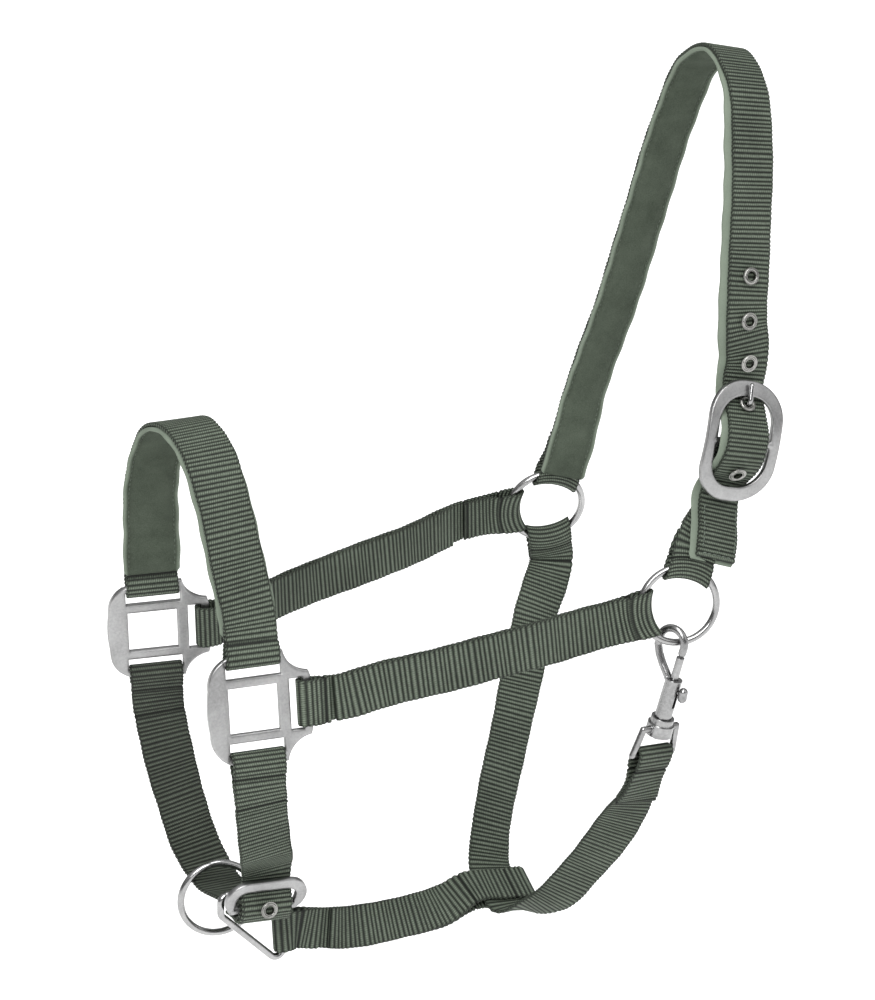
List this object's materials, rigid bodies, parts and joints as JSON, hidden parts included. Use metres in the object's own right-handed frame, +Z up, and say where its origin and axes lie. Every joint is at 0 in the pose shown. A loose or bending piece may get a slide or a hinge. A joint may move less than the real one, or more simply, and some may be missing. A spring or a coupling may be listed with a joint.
{
  "type": "horse head halter",
  "caption": "Webbing horse halter with padded noseband and crown, D and round rings, adjustable buckles at crown and chin, and a swivel bolt snap closing the throat strap.",
  "frame": {"origin": "middle of the noseband opening, between the two square fittings, where the nose passes through", "axes": "-X towards the nose, +X towards the poll, -Y near (left) side, +Y off (right) side, +Z up"},
  "size_m": [0.3498, 0.1923, 0.4923],
  "materials": {
    "webbing": "woven ribbed nylon webbing",
    "padding": "soft brushed suede-like padding",
    "hardware": "satin nickel-plated cast hardware",
    "wire": "satin nickel-plated drawn wire",
    "eyelet": "pressed metal grommet",
    "snap": "polished nickel-plated casting"
  },
  "bodies": {
    "halter": {"near_cheek_strap": "webbing", "off_cheek_strap": "webbing", "noseband_strap": "webbing", "noseband_padding": "padding", "crown_strap": "webbing", "crown_padding": "padding", "buckle_strap": "webbing", "near_chin_strap": "webbing", "off_chin_strap": "webbing", "jaw_strap": "webbing", "throat_strap": "webbing", "near_square": "hardware", "off_square": "hardware", "jaw_link": "wire", "crown_buckle_frame": "hardware", "chin_buckle_frame": "hardware", "crown_eyelets": "eyelet", "chin_eyelet": "eyelet", "snap_swivel_eye": "snap", "snap_rivet": "snap"},
    "near_ring": {"near_cheek_ring": "wire"},
    "off_ring": {"off_cheek_ring": "wire"},
    "chin_ring": {"chin_ring": "wire"},
    "crown_tongue": {"crown_buckle_tongue": "wire"},
    "snap": {"snap_body": "snap", "snap_spring": "snap"},
    "bolt": {"snap_bolt": "snap"}
  },
  "joints": [
    {"name": "near_ring_turn", "type": "hinge", "parent": "halter", "child": "near_ring", "pos_m": [0.2405, -0.083, 0.027], "axis": [-0.2206, -0.9728, 0.0702], "continuous": true},
    {"name": "off_ring_turn", "type": "hinge", "parent": "halter", "child": "off_ring", "pos_m": [0.2425, 0.083, 0.029], "axis": [-0.2201, -0.9455, -0.2401], "continuous": true},
    {"name": "chin_ring_turn", "type": "hinge", "parent": "halter", "child": "chin_ring", "pos_m": [0.0145, 0.026, -0.1475], "axis": [-0.14, -0.9897, -0.03], "continuous": true},
    {"name": "crown_tongue_lift", "type": "hinge", "parent": "halter", "child": "crown_tongue", "pos_m": [0.2795, -0.079, 0.1125], "axis": [0.9707, 0, -0.2402], "range_deg": [0, 2.5]},
    {"name": "snap_swivel", "type": "hinge", "parent": "halter", "child": "snap", "pos_m": [0.22727, -0.08043, -0.05782], "axis": [0.2, -0.15, 0.9682], "range_deg": [-6, 3]},
    {"name": "bolt_slide", "type": "slide", "parent": "snap", "child": "bolt", "axis": [-0.2, 0.15, -0.9682], "range_m": [0, 0.007], "stiffness_N_per_m": 200, "springref_m": -0.004, "deforming": ["snap_spring"]}
  ]
}
